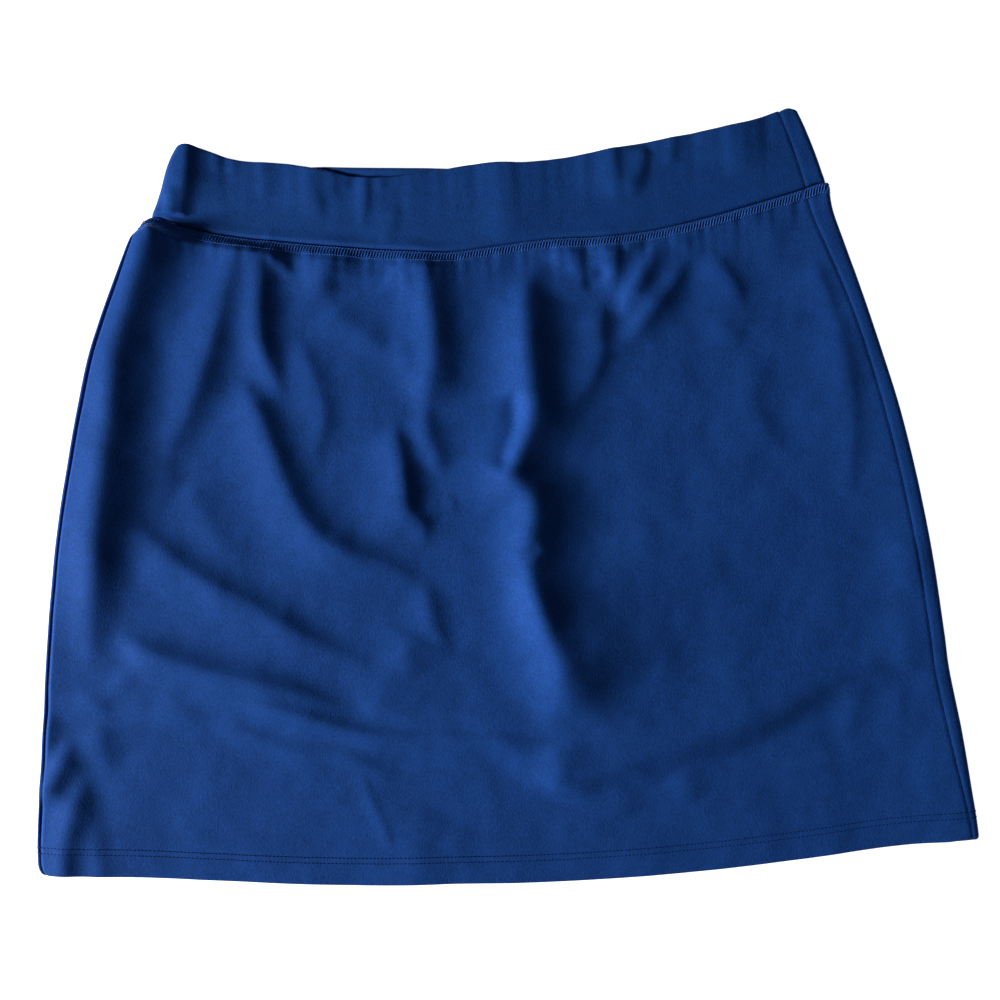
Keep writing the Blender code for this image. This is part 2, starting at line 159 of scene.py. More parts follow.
# The folds of the front. Each is a rounded crest along a line, and the cloth rises to it from
# the line's right-hand side and falls more steeply on its left-hand side.
SKIRT_FOLDS = (
    # rise, rising_flank, falling_flank, fade_in, fade_out, crest_line
    # the tall fold down the left side
    (10.6, 22, 20, 12, 110,
     ((-196, 180), (-200, 170), (-203.5, 160), (-208, 146), (-215, 125.5), (-221, 107),
      (-225.5, 88), (-227.5, 66), (-231, 42), (-234, 16), (-237, -8), (-238.5, -26),
      (-240, -46), (-241.5, -62), (-243.5, -85), (-246, -114))),
    (2.4, 12, 24, 12, 60,
     ((-196, 180), (-200, 170), (-203.5, 160), (-208, 146), (-215, 125.5), (-221, 107))),
    (1.1, 8, 6, 12, 18, ((-254, -106), (-250, -112), (-244, -118), (-238, -124), (-229, -128))),
    # from the waist seam down the left half
    (5.4, 20, 12, 4, 110,
     ((-150, 162), (-153.6, 149), (-157, 138), (-160.5, 125), (-164, 112), (-168, 99),
      (-172.5, 86), (-176.5, 74), (-181, 61), (-187, 48), (-193, 38), (-195.5, 24),
      (-195, 10), (-191, -8))),
    (4.6, 10, 9, 2, 40,
     ((-139, 162), (-137, 150), (-137, 140), (-138.5, 120), (-138, 100), (-135.5, 90),
      (-132, 80), (-128.5, 71), (-122, 58))),
    (2.0, 4, 4, 4, 16, ((-133, 159), (-128, 150), (-122, 143), (-115, 136))),
    (4.6, 14, 10, 24, 70,
     ((-149, 78), (-147, 68), (-143.5, 60), (-138.8, 50), (-134.8, 39), (-131, 28),
      (-127.5, 17), (-124, 7), (-119, -4), (-113, -14), (-105, -23), (-93, -31), (-78, -37),
      (-63, -43), (-51, -49), (-36, -56))),
    (1.6, 12, 7, 24, 26,
     ((-118, 104), (-113, 92), (-109, 80), (-105, 68), (-102, 56), (-102, 46), (-105, 36),
      (-106, 26), (-103, 14))),
    (5.0, 14, 14, 1, 26, ((-90, 158), (-92, 150), (-96, 142), (-98, 134), (-96, 127), (-92, 119))),
    (1.6, 10, 9, 14, 20, ((-98, 124), (-92, 115), (-84, 107), (-74, 100), (-64, 93), (-56, 90))),
    (1.2, 9, 4, 8, 12, ((-60, 142), (-52, 137), (-48, 131), (-46, 123))),
    (1.0, 8, 5, 10, 12, ((-56, 99), (-52, 91), (-51, 82), (-55, 74))),
    (5.6, 13, 14, 2, 26,
     ((-38, 157), (-37, 147), (-34.5, 133), (-32.5, 116), (-31, 97), (-31.5, 80), (-34.5, 67),
      (-37, 56), (-38, 45))),
    (2.6, 8, 8, 18, 18, ((-37.5, 56), (-38.5, 46), (-37, 34), (-33, 24), (-29, 10))),
    (4.2, 13, 8, 20, 34,
     ((-59, 47), (-57.5, 36), (-56, 26), (-54.5, 14), (-53.5, 2), (-53, -6), (-49, -12),
      (-44.5, -17), (-42.5, -26), (-41.5, -36))),
    (0.8, 5, 3, 6, 12, ((-20, -6), (-33, -9.5), (-46, -11))),
    (2.0, 9, 7, 18, 26, ((-43, -50), (-40.5, -66), (-39, -77), (-34, -88), (-27, -100))),
    (1.0, 8, 9, 12, 12, ((-55, -86), (-54, -98), (-52, -112))),
    # across the left thigh
    (1.2, 10, 10, 14, 34,
     ((-187, 16), (-178, 1), (-173, -10), (-164, -24), (-153, -37), (-146, -46))),
    (0.4, 3, 3, 10, 12, ((-111, -29), (-101, -39), (-90, -48))),
    (4.0, 16, 9, 40, 78,
     ((-222, -6), (-199, -29), (-184, -41.5), (-168, -51.5), (-152, -60), (-138, -70),
      (-123, -79), (-108, -87), (-93, -95), (-81, -102), (-69, -110))),
    (5.0, 13, 8.5, 32, 66,
     ((-232, -72), (-222, -80), (-209, -88), (-198, -92.5), (-183, -98), (-168, -103),
      (-154, -106.5), (-139, -111), (-124, -115), (-109, -120.5), (-94, -126), (-84, -130))),
    (0.8, 8, 7, 10, 12, ((-233, -96), (-228, -101), (-222, -106), (-217, -113))),
    (1.2, 6, 5, 34, 26, ((-229, -120), (-214, -123), (-199, -125), (-184, -127), (-170, -129))),
    (2.8, 8, 4, 36, 60,
     ((-165, -119), (-139, -124.5), (-117, -131), (-97, -138), (-80, -143), (-57, -145.5),
      (-24, -147.5), (-4, -149), (16, -150), (32, -151))),
    (1.6, 7, 5, 40, 46,
     ((-180, -130), (-154, -139), (-139, -145), (-125, -150), (-95, -155), (-74, -164),
      (-51, -169))),
    (0.5, 3.4, 2, 14, 14, ((-87, -163), (-81, -179), (-75, -194), (-67, -213))),
    # the creased corner of the hem at the left
    (1.6, 5, 7, 16, 16, ((-269, -118), (-272.5, -130), (-274, -142), (-273, -153))),
    (3.8, 7, 9, 20, 14, ((-258, -136), (-260, -145), (-266, -158), (-271, -168), (-277, -180))),
    (3.8, 9, 10, 26, 1,
     ((-250, -158), (-252, -170), (-256, -180), (-259, -190), (-261, -200), (-262, -212),
      (-262.5, -232))),
    (1.7, 8, 8, 24, 1, ((-244, -182), (-243, -200), (-242, -212), (-242, -232))),
    (1.8, 12, 8, 16, 20, ((-243, -125), (-241, -138), (-239, -150), (-236.5, -163))),
    # facets and bumps above the hem
    (1.5, 14, 34, 10, 14, ((-42, -84), (-45, -91), (-57, -108), (-69, -131), (-72, -140))),
    (0.8, 10, 10, 10, 8, ((69, -176), (72, -200))),
    (0.8, 10, 9, 8, 10, ((103, -170), (109, -180), (115, -192))),
    (1.2, 14, 16, 14, 1, ((-44, -184), (-50, -206), (-52, -246))),
    # the tall fold down the middle, with its turn like an S and the facets beside it
    (9.4, 14, 18, 58, 100,
     ((41, 141), (34, 133), (28.5, 124), (26.6, 112), (26.5, 99), (26.6, 85), (27.2, 71),
      (28, 60), (28.5, 53), (28, 45), (25, 36.5), (21.4, 29), (18, 22), (15.3, 14.5),
      (15, 9.6), (18, 4.7), (22.2, 0), (25.2, -6.3), (26, -13.6), (25, -22), (23.5, -30),
      (22.5, -40), (22.5, -50), (24.5, -61), (29, -76), (35, -91), (40, -105), (43, -120))),
    (-3.4, 6, 4, 8, 10, ((15, 62), (15, 50), (14.5, 40), (11, 29), (7.5, 20), (6, 10))),
    (-1.0, 2.5, 2.5, 7, 7, ((12, -35.5), (18, -38), (24, -37), (27, -40))),
    (1.8, 18, 17, 24, 50,
     ((34, -86), (39, -96), (44, -107), (48, -117), (53.5, -128), (60.5, -136), (71.5, -141),
      (86, -144), (100, -146))),
    (6.4, 20, 66, 38, 36, ((28, -32), (36, -66), (46, -100), (55, -138))),
    (3.8, 14, 34, 50, 30,
     ((22, -44), (28.5, -76), (35, -92), (40, -106), (41.5, -120), (38, -136), (31, -152))),
    (2.6, 12, 24, 12, 14, ((35, -148), (38, -162), (37, -174), (31, -188))),
    # over the hem of the right leg
    (2.5, 16, 9, 84, 60,
     ((207, -117), (192, -127), (179, -134), (164, -142), (148, -148.5), (130, -154),
      (113, -157), (97, -159), (82, -163), (70, -167), (58, -171), (48, -176), (36, -181))),
    (0.8, 9, 8, 20, 20, ((222, -118), (216, -132), (209, -146), (202, -160))),
    (0.7, 8, 9, 24, 24, ((240, -118), (238.5, -136), (238, -152), (236, -172))),
    (0.9, 10, 12, 24, 24, ((246, -70), (245, -90), (245, -108), (246, -124))),
    # gathers below the waist seam at the right
    (1.5, 5, 6, 4, 14, ((45.5, 155), (46, 146), (48, 134))),
    (1.9, 5, 6, 4, 16, ((55, 156), (55.5, 146), (57.5, 138), (63, 128))),
    (-1.3, 4, 3, 6, 8, ((74, 139), (72, 132), (66.5, 127.5), (58, 125))),
    (2.7, 6, 6.5, 1, 26, ((78.5, 157), (79, 146), (79.3, 136), (79.3, 126), (77.5, 115))),
    (1.0, 3, 4, 1, 7, ((90, 158), (90.5, 150), (91.5, 144))),
    (4.2, 6, 9, 40, 20,
     ((111, 153), (106, 144), (101, 135), (95, 125), (89.5, 114.5), (86, 102))),
    (3.3, 7, 7.5, 46, 38,
     ((131, 147), (126, 140), (121, 132), (115.5, 123.5), (109, 115.5), (100.6, 105.6),
      (92.7, 96), (83, 88), (72, 82))),
    (2.8, 15, 8, 18, 34,
     ((72.5, 117), (70, 105), (68.7, 95), (69, 85), (65.8, 72.7), (60.4, 63), (52, 53),
      (46, 44))),
    (1.2, 6, 4, 2, 12, ((121, 163), (123.5, 152), (127.5, 141))),
    (1.8, 10, 6, 14, 18,
     ((137, 145), (141, 139), (146.5, 132), (151, 125), (155, 117), (157, 106))),
    # down the right side
    (0.8, 10, 8, 12, 12, ((136, 103), (147, 95), (159, 83))),
    (0.8, 12, 8, 24, 24,
     ((172, 86), (170, 74), (165, 64), (162, 56), (161.5, 47), (166, 35), (174, 22), (181, 10))),
    (1.4, 12, 5.5, 16, 22, ((199, 138), (202, 132), (207, 118), (211.5, 107), (214, 95))),
    (1.9, 14, 8, 30, 60,
     ((209, 112), (213, 98), (216, 84), (218.5, 66), (220, 48), (219.5, 23), (217.5, -1),
      (216, -20))),
    (2.2, 26, 8, 50, 1,
     ((213, 176), (219, 144), (230, 104), (248, 31), (259.5, -49), (265, -114), (271, -158),
      (276, -218))),
    (0.7, 10, 9, 14, 16, ((176, 166), (180, 152), (179, 138), (177, 124))),
    (0.9, 12, 9, 9, 9, ((248, -36), (250, -55), (252, -74))),
)
BAND_FOLDS = (
    # rise, rising_flank, falling_flank, fade_in, fade_out, crest_line
    (2.3, 14, 5, 0.5, 1, ((-181, 228), (-182.5, 214), (-184, 200), (-186, 188), (-187.5, 179))),
    (3.4, 16, 20, 0.5, 24, ((-179, 228), (-181, 214), (-183, 200), (-185, 188), (-187, 179))),
    (1.7, 3, 4, 9, 3, ((-193.5, 200), (-192.5, 190), (-193, 179))),
    (1.8, 10, 7, 0.5, 22, ((-104, 210), (-105, 196), (-103, 186), (-98, 170))),
    (1.0, 6, 4, 0.5, 12, ((-93, 208), (-93, 196), (-91, 184))),
    (0.8, 4, 3, 0.5, 24, ((-72, 202), (-72.5, 190), (-73.5, 178), (-75, 162))),
    (0.5, 3, 3, 0.5, 7, ((-84, 202), (-84, 188))),
    (0.4, 3, 3, 0.5, 7, ((-62, 202), (-62, 188))),
    (0.5, 6, 4, 8, 8, ((-52, 182), (-57, 168), (-60, 154))),
    (2.2, 10, 7, 0.5, 20, ((82.5, 216), (83, 200), (84, 190), (88, 174))),
    (1.6, 6, 5, 6, 13, ((103, 212), (99, 198), (95, 188), (91, 176))),
    (0.9, 5, 4, 0.5, 12, ((121, 220), (118.5, 206), (114, 195))),
    (1.9, 16, 13, 0.5, 22, ((160, 234), (162, 220), (163, 205), (161, 186))),
    (0.3, 3, 3, 0.5, 7, ((-50, 204), (-50, 190))),
    (0.5, 3, 3, 0.5, 6, ((-163, 220), (-163, 205))),
    (0.5, 3, 3, 0.5, 6, ((-154, 218), (-153, 203))),
    (0.8, 8, 6, 0.5, 13, ((-133, 215), (-132, 202), (-133, 186))),
    (1.6, 12, 22, 0.5, 10, ((16, 208), (17, 190), (18, 170), (20, 152))),
)
# The folds of the underside, which the floor presses flat: soft troughs in the back panel.
BACK_FOLDS = (
    # rise, rising_flank, falling_flank, fade_in, fade_out, crest_line
    (0.5, 12, 8, 20, 60, ((-148, 158), (-156, 118), (-150, 70), (-162, 10), (-158, -40))),
    (0.4, 9, 10, 14, 40, ((-82, 150), (-74, 112), (-88, 66), (-80, 30))),
    (0.5, 14, 9, 30, 50, ((-30, 140), (-22, 84), (-34, 20), (-12, -46), (-26, -110))),
    (0.4, 10, 9, 16, 44, ((62, 148), (50, 106), (66, 58), (58, 16))),
    (0.5, 12, 10, 24, 60, ((146, 158), (132, 110), (148, 44), (136, -24))),
    (0.4, 16, 12, 30, 40, ((-220, -52), (-168, -74), (-110, -78), (-52, -104))),
    (0.5, 16, 12, 36, 30, ((206, -88), (150, -108), (92, -104), (40, -128))),
    (0.4, 10, 9, 16, 20, ((188, 120), (200, 70), (196, 10))),
    (0.4, 12, 10, 24, 24, ((-238, -136), (-196, -160), (-140, -158))),
)
# Low waves all over the front. Their crests wander, and they are higher in some places.
UNEVEN_WAVES = (
    # length, turn, size, start
    (61.0, 0.5, 0.24, 0.3),
    (43.0, -0.4, 0.15, 1.9),
    (31.0, 1.0, 0.10, 4.2),
    (22.0, 0.1, 0.06, 2.6),
    (16.0, -1.0, 0.035, 0.8),
)
WANDER_LENGTH = 1.7  # of a crest's wandering, in lengths of its wave
WANDER = 1.5  # in radians of the wave
WAVE_MEAN = 0.6  # share of a wave's size that is everywhere
WAVE_SWING = 0.4
WAVE_SWING_RATE = 1.3
# Small waves along the waist seam and along the band's elastic.
SEAM_PUCKERS = (
    # length, size, start
    (7.3, 0.10, 0.4),
    (11.9, 0.14, 2.0),
    (19.7, 0.16, 4.1),
)
ELASTIC_PUCKERS = (
    # length, size, start
    (9.1, 0.05, 1.2),
    (15.3, 0.09, 0.3),
    (26.0, 0.12, 5.0),
)
PUCKER_START = 2.0  # below the seam
PUCKER_RISE = 5.0
PUCKER_REACH = 17.0
ELASTIC_REACH = 26.0  # below the band's top edge

# How a fold is rounded.
ROUNDING = 1.6  # half width of the round top of a crest
CREST_SHIFT = 0.16  # share of a flank from a crest to its line, where the cloth starts to fall
FLANK_POWER = 1.45  # how a flank bends away from its crest
FLANK_TAPER = 0.4  # how narrow a fold's flanks become towards its ends
FLANK_REACH = 3.2  # flanks from its line at which a fold is over
END_ROUNDING = 0.8  # flanks past its ends at which a fold has sunk to about a third
LINE_STEP = 3.0  # between the points read along a line
BEND_BLUR = 18.0  # square of the width over which a bent line's inner side is smoothed
BEND_BLUR_GROWTH = 0.12  # how that grows with the square of the distance
# How the folds meet the sides and the waist seam.
SIDE_BULGE = 0.2  # how much fuller the cloth is at the turn of each side
BULGE_WIDTH = 4 * SIDE_RADIUS
SEAM_HOLD = 0.2  # share of a fold's height that is left at the waist seam
SEAM_START = 2.0  # how far down from the seam the folds start to grow
SEAM_REACH = 10.0  # and how far on they reach their full height
BAND_PROUD = 2.6  # how far the back band's edge stands up where it shows past the front's
BAND_PROUD_SLOPE = 3.0  # width over which it rises to that
BAND_BLEND = 9.0  # how far up the band the skirt's folds die away
NUDGE = 0.02  # step for reading the slope of the cloth

# Sewing: what the threads do to the cloth.
DITCH_DEPTH = 1.1  # of the waist seam, which the threads pull down
DITCH_WIDTH = 1.2
BACK_DITCH_DEPTH = 0.9
BAND_DITCH_DEPTH = 0.9
BACK_BAND_DITCH_DEPTH = 0.7
BAND_DITCH_WIDTH = 1.4
ALLOWANCE_DEPTH = 7.8  # of the seam allowance that lies under the coverstitch
ALLOWANCE_RISE = 0.35
ALLOWANCE_SLOPE = 1.6
BACK_STITCH_RISE = 0.5  # of the back panel along its coverstitch, off the floor
BACK_STITCH_SLOPE = 2.0
BACK_HEM_RISE = 0.7  # and along its hem stitches
HEM_GROOVE = 0.3  # along each row of hem stitches
HEM_GROOVE_WIDTH = 0.9
LEFT_DITCH_DEPTH = 1.5  # of the side seams
RIGHT_DITCH_DEPTH = 0.3
SIDE_DITCH_WIDTH = 1.0
SIDE_DITCH_SPAN = 3 * SIDE_DITCH_WIDTH  # where the grid is fine enough for a side seam's ditch
LEFT_BACK_SPAN = 1.0  # the same on the back panel at the left, where the seam is on the turn

# Sewing: the threads.
LADDER_TOP = 1.4  # the coverstitch below the waist seam: from here
LADDER_FOOT = 6.5  # to here
LADDER_PITCH = 1.8
LADDER_SLANT = 0.5  # how far a bar's ends are to either side of its middle
FOOT_PITCH = 1.6  # of the needle thread along its lower edge
NEEDLE_SHARE = 0.62  # of a pitch that the needle thread shows
HEM_ROWS = (13.0, 16.3)  # the twin needle's rows, up from the hem
HEM_PITCH = 2.3
HEM_DASH = 1.2
SEAM_MARGIN = 1.0  # from a side seam to the first stitch
THREAD_POINTS = 5
THREAD_SIDES = 6
LADDER_RADIUS = 0.25
NEEDLE_RADIUS = 1.1 * LADDER_RADIUS
HEM_RADIUS = 0.3
LIFT = 0.06  # of a thread's middle over the cloth
NEEDLE_LIFT = LIFT + 0.08
DIVE = 0.2  # how much lower its ends are
NEEDLE_DIVE = 0.3
SUNK = 0.35  # how much deeper threads lie where the floor presses them
PRESSED = -0.3  # where the cloth faces down more than this

# The shells.
HEM_EDGE = 1.0  # radius of a rounded edge
BAND_TOP_EDGE = 1.1
BAND_SEAM_EDGE = 0.7
EDGE_THINNEST = 0.15  # share of the wall that is left at it
SHARP_ANGLE = 70.0
SHORTS_ROWS = 60
SHORTS_COLUMNS = 48
SHORTS_SHORTFALL = 3 * GAP  # of the shorts below the waist seam
# Rows of the grids: heights above the lower edge, without the last one, and the step between
# the rows from each of them on. Columns: how many steps there are between a piece's stops.
SKIRT_GRIDS = (
    # side, heights, row_steps, column_counts
    ("front", (0, 1.2, 20, 378), (0.3, 1.6, 1.75, 0.8), (4, 312, 4)),
    ("back", (0, 1.2, 20, 374), (0.3, 1.7, 4.4, 1.3), (4, 12, 10, 180, 10, 4)),
)
BAND_ROW_STEPS = (0.5, 1.2, 0.4)
BAND_SEAM_ROWS = 4  # how far up the first, finer rows go
BAND_TOP_ROWS = 2  # and how far down the last ones
BAND_GRIDS = (
    # side, column_counts
    ("front", (4, 280, 4)),
    ("back", (4, 8, 10, 130, 10, 4)),
)

# Cloth and thread.
NAVY = (0.0088, 0.0573, 0.262)
NAVY_BAND = (0.0074, 0.0530, 0.238)
SHORTS_BLUE = (0.0090, 0.0580, 0.250)
LADDER_BLUE = (0.030, 0.115, 0.400)
# Near-black, darker than the navy of the real thread: painted shade of the needle holes along the
# hem's twin rows.
HEM_SHADED_THREAD = (0.0025, 0.012, 0.065)
SHEEN_BLUE = (0.25, 0.42, 0.95)
WALE = 0.85  # the knit's columns
COURSE = 1.5  # and its rows
BROAD_CLOUD = 45.0
SMALL_PATCH = 7.0
THREAD_TWIST = 0.9
CLOUD_SHARE = 0.10  # how much each of them changes the tone
PATCH_SHARE = 0.12
GRAIN_SHARE = 0.55
# Where the sum of the noises gives each shade: a place on the ramp, and a share of the colour.
KNIT_SHADES = ((0.205, 0.6), (0.565, 1.4))
THREAD_SHADES = ((0.35, 0.7), (0.65, 1.35))

# The camera, over the garment and a little towards its hem.
CAMERA_TARGET = (3.7, -4.9, 4.0)
CAMERA_DISTANCE = 700.0
CAMERA_TILT = 4.376
CAMERA_ROLL = 2.3
CAMERA_FOV = 46.99
CAMERA_NEAR = 50.0
# The key light, low and from the left.
KEY_AZIMUTH = 186.0
KEY_ELEVATION = 16.5
KEY_DISTANCE = 2500.0
KEY_SIZE = 550.0
KEY_WATTS = 128.0
KEY_COLOUR = (1.0, 0.98, 0.96)
SKY_STRENGTH = 0.065
SKY_COLOUR = (0.95, 0.97, 1.0)
FLOOR_REACH = 6000.0
FLOOR_WHITE = 0.9
FLOOR_GLOW = 0.95  # the surface under it is lit until it is pure white


def between(low, high, share):
    return low + (high - low) * share


def ease(share):
    """A smooth step from 0 to 1."""
    share = np.clip(share, 0.0, 1.0)
    return share * share * (3.0 - 2.0 * share)


def bump(distance, width):
    """A round bump: 1 at no distance, falling to about a third at the width."""
    return np.exp(-((distance / width) ** 2))


def smooth_through(knots, values, at):
    """A smooth curve through values at knots, read at other places."""
    knots = np.asarray(knots, float)
    values = np.asarray(values, float)
    slopes = np.gradient(values, knots)
    at = np.clip(at, knots[0], knots[-1])
    cell = np.clip(np.searchsorted(knots, at, side="right") - 1, 0, len(knots) - 2)
    width = knots[cell + 1] - knots[cell]
    share = (at - knots[cell]) / width
    bend = ease(share)
    start = slopes[cell] * width * share * (1 - share) ** 2
    end = slopes[cell + 1] * width * share ** 2 * (1 - share)
    return between(values[cell], values[cell + 1], bend) + start - end


def across(line, x):
    """The y of a line across the garment at x."""
    xs, ys = zip(*line)
    return smooth_through(xs, ys, x)


def level(rows, column, up):
    """A column of a table of levels, at a share of the way up."""
    ups = [row[0] for row in rows]
    return smooth_through(ups, [row[column] for row in rows], up)


def trace(line, step=LINE_STEP):
    """Points along a smooth line, its direction at each, and the length from its start."""
    corners = np.array(line, float)
    knots = np.concatenate([[0.0], np.cumsum(np.hypot(*np.diff(corners, axis=0).T))])
    lengths = np.linspace(0, knots[-1], int(np.ceil(knots[-1] / step)) + 1)
    route = np.stack([smooth_through(knots, corners[:, axis], lengths) for axis in (0, 1)], 1)
    run = np.gradient(route, axis=0)
    run /= np.hypot(*run.T)[:, None]
    return route, run, lengths


def beside(x, y, line):
    """For each point: its distance to a line, more than zero on the line's left, the length
    along the line beside it, the line's whole length, and how far the point is past an end."""
    route, run, lengths = trace(line)
    off_x = x[:, None] - route[:, 0]
    off_y = y[:, None] - route[:, 1]
    square = off_x ** 2 + off_y ** 2
    nearest = square.argmin(axis=1)
    least = square.min(axis=1)[:, None]
    weight = np.exp(-(square - least) / (BEND_BLUR + BEND_BLUR_GROWTH * least))
    weight /= weight.sum(axis=1)[:, None]
    ahead = run[:, 0] * off_x + run[:, 1] * off_y
    signed = (weight * (run[:, 0] * off_y - run[:, 1] * off_x)).sum(axis=1)
    along = (weight * (lengths + np.clip(ahead, -LINE_STEP, LINE_STEP))).sum(axis=1)
    before = np.where(nearest == 0, np.maximum(-ahead[:, 0], 0), 0)
    after = np.where(nearest == len(route) - 1, np.maximum(ahead[:, -1], 0), 0)
    return signed, along, lengths[-1], before + after


def relief(folds, x, y):
    """The height that the folds add at each point."""
    height = np.zeros(x.shape)
    for rise, rising_flank, falling_flank, fade_in, fade_out, line in folds:
        xs, ys = zip(*line)
        reach = FLANK_REACH * max(rising_flank, falling_flank)
        near = (x > min(xs) - reach) & (x < max(xs) + reach)
        near &= (y > min(ys) - reach) & (y < max(ys) + reach)
        if not near.any():
            continue
        signed, along, whole, past = beside(x[near], y[near], line)
        signed += CREST_SHIFT * falling_flank * (rise > 0)
        flank = np.where(signed > 0, float(falling_flank), float(rising_flank))
        far = np.sqrt(signed ** 2 + ROUNDING ** 2) - ROUNDING
        fades = ease(along / fade_in) * ease((whole - along) / fade_out)
        flank *= between(FLANK_TAPER, 1.0, fades)
        fades *= bump(past, END_ROUNDING * min(rising_flank, falling_flank))
        height[near] += rise * fades * np.exp(-((far / flank) ** FLANK_POWER))
    return height


def over_shorts(x, y):
    """1 where the front lies on the shorts, falling to 0 past their leg hems."""
    return ease((y - across(LEG_HEM_LINE, x)) / LEG_SLOPE + LEG_SLOPE_PAST)


def ripple(x, waves):
    """Uneven small waves along the cloth: a sum of waves, a row of length, size and start."""
    return sum(size * np.sin(2 * np.pi * x / length + start) for length, size, start in waves)


def skirt_folds(x, y):
    """The folds of the front, which the waist seam and its stitches hold down."""
    drop = across(WAIST_SEAM_LINE, x) - y
    held = between(SEAM_HOLD, 1.0, ease((drop - SEAM_START) / SEAM_REACH))
    return relief(SKIRT_FOLDS, x, y) * held


def uneven(x, y):
    """The broad unevenness of cloth laid by hand: low waves with wandering crests."""
    height = np.zeros(np.shape(x))
    for length, turn, size, start in UNEVEN_WAVES:
        ahead = (x * np.cos(turn) + y * np.sin(turn)) * 2 * np.pi / length
        aside = (y * np.cos(turn) - x * np.sin(turn)) * 2 * np.pi / (WANDER_LENGTH * length)
        wander = WANDER * np.sin(aside + 2 * start)
        swing = WAVE_MEAN + WAVE_SWING * np.sin(WAVE_SWING_RATE * aside + start)
        height += size * np.sin(ahead + start + wander) * swing
    return height


def under_seam(x, y):
    """What the waist seam does to the skirt's outside: the ditch, the ridge of the allowance
    and small puckers that die away below it."""
    drop = across(WAIST_SEAM_LINE, x) - y
    ditch = -DITCH_DEPTH * bump(drop, DITCH_WIDTH)
    ridge = ALLOWANCE_RISE * ease(drop / ALLOWANCE_SLOPE)
    ridge *= ease((ALLOWANCE_DEPTH - drop) / ALLOWANCE_SLOPE)
    fades = ease((drop - PUCKER_START) / PUCKER_RISE) * bump(drop, PUCKER_REACH)
    return ditch + ridge + ripple(x, SEAM_PUCKERS) * fades


def hem_groove(x, y):
    """The shallow pull of the twin rows of stitches above the hem."""
    up = y - across(HEM_LINE, x)
    return -sum(HEM_GROOVE * bump(up - row, HEM_GROOVE_WIDTH) for row in HEM_ROWS)


def skirt_upper(x, y):
    """Height of the middle of the front panel's wall."""
    rest = between(SKIRT_FRONT_LOW, SKIRT_FRONT_HIGH, over_shorts(x, y))
    hem = HEM_LIFT * ease((across(HEM_LINE, x) + 2 * HEM_TURN - y) / HEM_TURN)
    folds = skirt_folds(x, y)
    return rest + hem + folds + uneven(x, y) + under_seam(x, y) + hem_groove(x, y)


def skirt_lower(x, y):
    """Height of the middle of the back panel's wall."""
    drop = across(BACK_SEAM_LINE, x) - y
    past = ALLOWANCE_DEPTH + BACK_STITCH_SLOPE - drop
    waist = BACK_STITCH_RISE * ease(drop) * ease(past / BACK_STITCH_SLOPE)
    waist = np.maximum(waist, BACK_DITCH_DEPTH * bump(drop, DITCH_WIDTH))
    up = y - across(HEM_LINE, x)
    hem = sum(BACK_HEM_RISE * bump(up - row, HEM_GROOVE_WIDTH) for row in HEM_ROWS)
    return SKIRT_BACK_MID + relief(BACK_FOLDS, x, y) + waist + hem


def band_upper(x, y):
    """Height of the middle of the front band's wall, which meets the skirt's at the seam."""
    seam_y = across(WAIST_SEAM_LINE, x)
    rise = y - seam_y
    fall = across(FRONT_TOP_LINE, x) - y
    ditch = -BAND_DITCH_DEPTH * bump(rise, BAND_DITCH_WIDTH)
    elastic = ripple(x, ELASTIC_PUCKERS) * bump(fall, ELASTIC_REACH)
    skirt = between(SKIRT_FRONT_LOW, SKIRT_FRONT_HIGH, over_shorts(x, seam_y))
    skirt += skirt_folds(x, seam_y)
    band = BAND_FRONT_MID + relief(BAND_FOLDS, x, seam_y)
    meeting = (skirt - band) * ease(1 - rise / BAND_BLEND)
    return BAND_FRONT_MID + relief(BAND_FOLDS, x, y) + meeting + ditch + elastic


def band_lower(x, y):
    """Height of the middle of the back band's wall."""
    rise = y - across(BACK_SEAM_LINE, x)
    past_front = y - across(FRONT_TOP_LINE, x)
    ditch = BACK_BAND_DITCH_DEPTH * bump(rise, BAND_DITCH_WIDTH)
    return BAND_BACK_MID + ditch + BAND_PROUD * ease(past_front / BAND_PROUD_SLOPE)


def side_turn(distance):
    """How far the cloth has turned level at a distance in from the side: 0 there, then 1."""
    share = np.clip(distance / SIDE_RADIUS, 0.0, 1.0)
    return np.sqrt(1 - (1 - share) ** 2)


def turned(distance):
    """Length along the turned cloth from the side's outermost line to a distance in."""
    share = np.clip(np.abs(distance) / SIDE_RADIUS, 0.0, 1.0)
    length = SIDE_RADIUS * np.arccos(1 - share) + np.maximum(np.abs(distance) - SIDE_RADIUS, 0)
    return np.sign(distance) * length


def unturned(length):
    """The distance in from the side, for a length along the turned cloth."""
    angle = np.clip(np.abs(length) / SIDE_RADIUS, 0.0, np.pi / 2)
    past = np.maximum(np.abs(length) - SIDE_RADIUS * np.pi / 2, 0)
    return SIDE_RADIUS * (1 - np.cos(angle)) + past


def sides(tube, up):
    """The x of the middle of the wall at the two sides."""
    left = level(tube["levels"], 1, up) + tube["half_wall"]
    right = level(tube["levels"], 2, up) - tube["half_wall"]
    return left, right


def cloth_width(tube, up):
    """The length along the upper layer from side to side."""
    left, right = sides(tube, up)
    return right - left + (np.pi - 2) * SIDE_RADIUS


def seams(tube, up):
    """The lengths round the tube at which its left and right side seams lie."""
    left = turned(level(tube["levels"], 3, up))
    right = turned(level(tube["levels"], 4, up))
    return left, cloth_width(tube, up) - right


